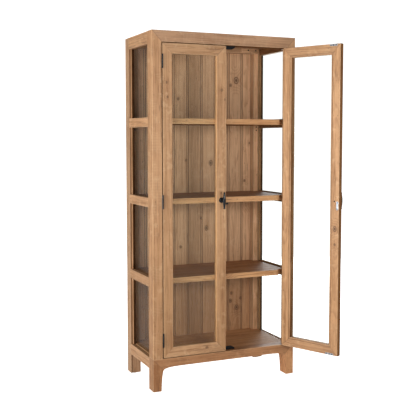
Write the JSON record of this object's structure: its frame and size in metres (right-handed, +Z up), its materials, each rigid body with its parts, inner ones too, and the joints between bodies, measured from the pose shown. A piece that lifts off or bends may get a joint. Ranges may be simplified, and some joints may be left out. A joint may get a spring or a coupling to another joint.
{
  "type": "pantry cabinet",
  "caption": "Tall pine pantry cabinet with glass sides, open shelves behind two framed glass doors, black bar handles and a plank back.",
  "frame": {"origin": "centre of the bottom of the box round the whole cabinet as it stands at rest, with the right door open, on the floor", "axes": "+Z up; +X to the right seen from the front; +Y from the front to the back"},
  "size_m": [1.0496, 0.8516, 2.057],
  "materials": {
    "frame_pine": "rustic oiled pine, light tan, knotty, satin",
    "door_pine": "rustic oiled pine, light tan, knotty, satin",
    "base_pine": "rustic oiled pine, brown, satin",
    "shelf_pine": "rustic oiled pine boards, brown, soft sheen on the top face",
    "back_pine": "V-jointed pine planks, grey-brown, knotty, matt",
    "clear_glass": "clear polished glass",
    "black_metal": "blackened, satin",
    "black_plastic": "black, matt"
  },
  "bodies": {
    "cabinet": {"anchor_block": "frame_pine", "back_panel": "back_pine", "bottom_catch": "black_plastic", "floor_panel": "shelf_pine", "front_apron": "base_pine", "front_leg_left": "base_pine", "front_leg_right": "base_pine", "front_post_left": "frame_pine", "front_post_right": "frame_pine", "front_top_rail": "frame_pine", "glide_front_left": "black_plastic", "glide_front_right": "black_plastic", "glide_rear_left": "black_plastic", "glide_rear_right": "black_plastic", "hinge_left_1_frame_leaf": "black_metal", "hinge_left_2_frame_leaf": "black_metal", "hinge_left_3_frame_leaf": "black_metal", "hinge_right_1_frame_leaf": "black_metal", "hinge_right_2_frame_leaf": "black_metal", "hinge_right_3_frame_leaf": "black_metal", "rear_post_left": "frame_pine", "rear_post_right": "frame_pine", "rear_top_rail": "frame_pine", "shelf_1": "shelf_pine", "shelf_2": "shelf_pine", "shelf_3": "shelf_pine", "side_glass_left": "clear_glass", "side_glass_right": "clear_glass", "side_rail_bottom_left": "frame_pine", "side_rail_bottom_right": "frame_pine", "side_rail_middle_1_left": "frame_pine", "side_rail_middle_1_right": "frame_pine", "side_rail_middle_2_left": "frame_pine", "side_rail_middle_2_right": "frame_pine", "side_rail_middle_3_left": "frame_pine", "side_rail_middle_3_right": "frame_pine", "side_rail_top_left": "frame_pine", "side_rail_top_right": "frame_pine", "top_catch": "black_plastic", "top_panel": "frame_pine"},
    "left_door": {"door_left_bead": "door_pine", "door_left_bottom_rail": "door_pine", "door_left_free_stile": "door_pine", "door_left_glass": "clear_glass", "door_left_hinge_stile": "door_pine", "door_left_top_rail": "door_pine", "handle_left": "black_metal", "hinge_left_1_door_leaf": "black_metal", "hinge_left_2_door_leaf": "black_metal", "hinge_left_3_door_leaf": "black_metal"},
    "right_door": {"door_right_bead": "door_pine", "door_right_bottom_rail": "door_pine", "door_right_free_stile": "door_pine", "door_right_glass": "clear_glass", "door_right_hinge_stile": "door_pine", "door_right_top_rail": "door_pine", "handle_right": "black_metal", "hinge_right_1_door_leaf": "black_metal", "hinge_right_2_door_leaf": "black_metal", "hinge_right_3_door_leaf": "black_metal"}
  },
  "joints": [
    {"name": "left_door_hinge", "type": "hinge", "parent": "cabinet", "child": "left_door", "pos_m": [-0.46428, -0.0537, 1.096], "axis": [0, 0, -1], "range_deg": [0, 170]},
    {"name": "right_door_hinge", "type": "hinge", "parent": "cabinet", "child": "right_door", "pos_m": [0.32862, -0.0537, 1.096], "axis": [0, 0, 1], "range_deg": [-115, 55]}
  ]
}
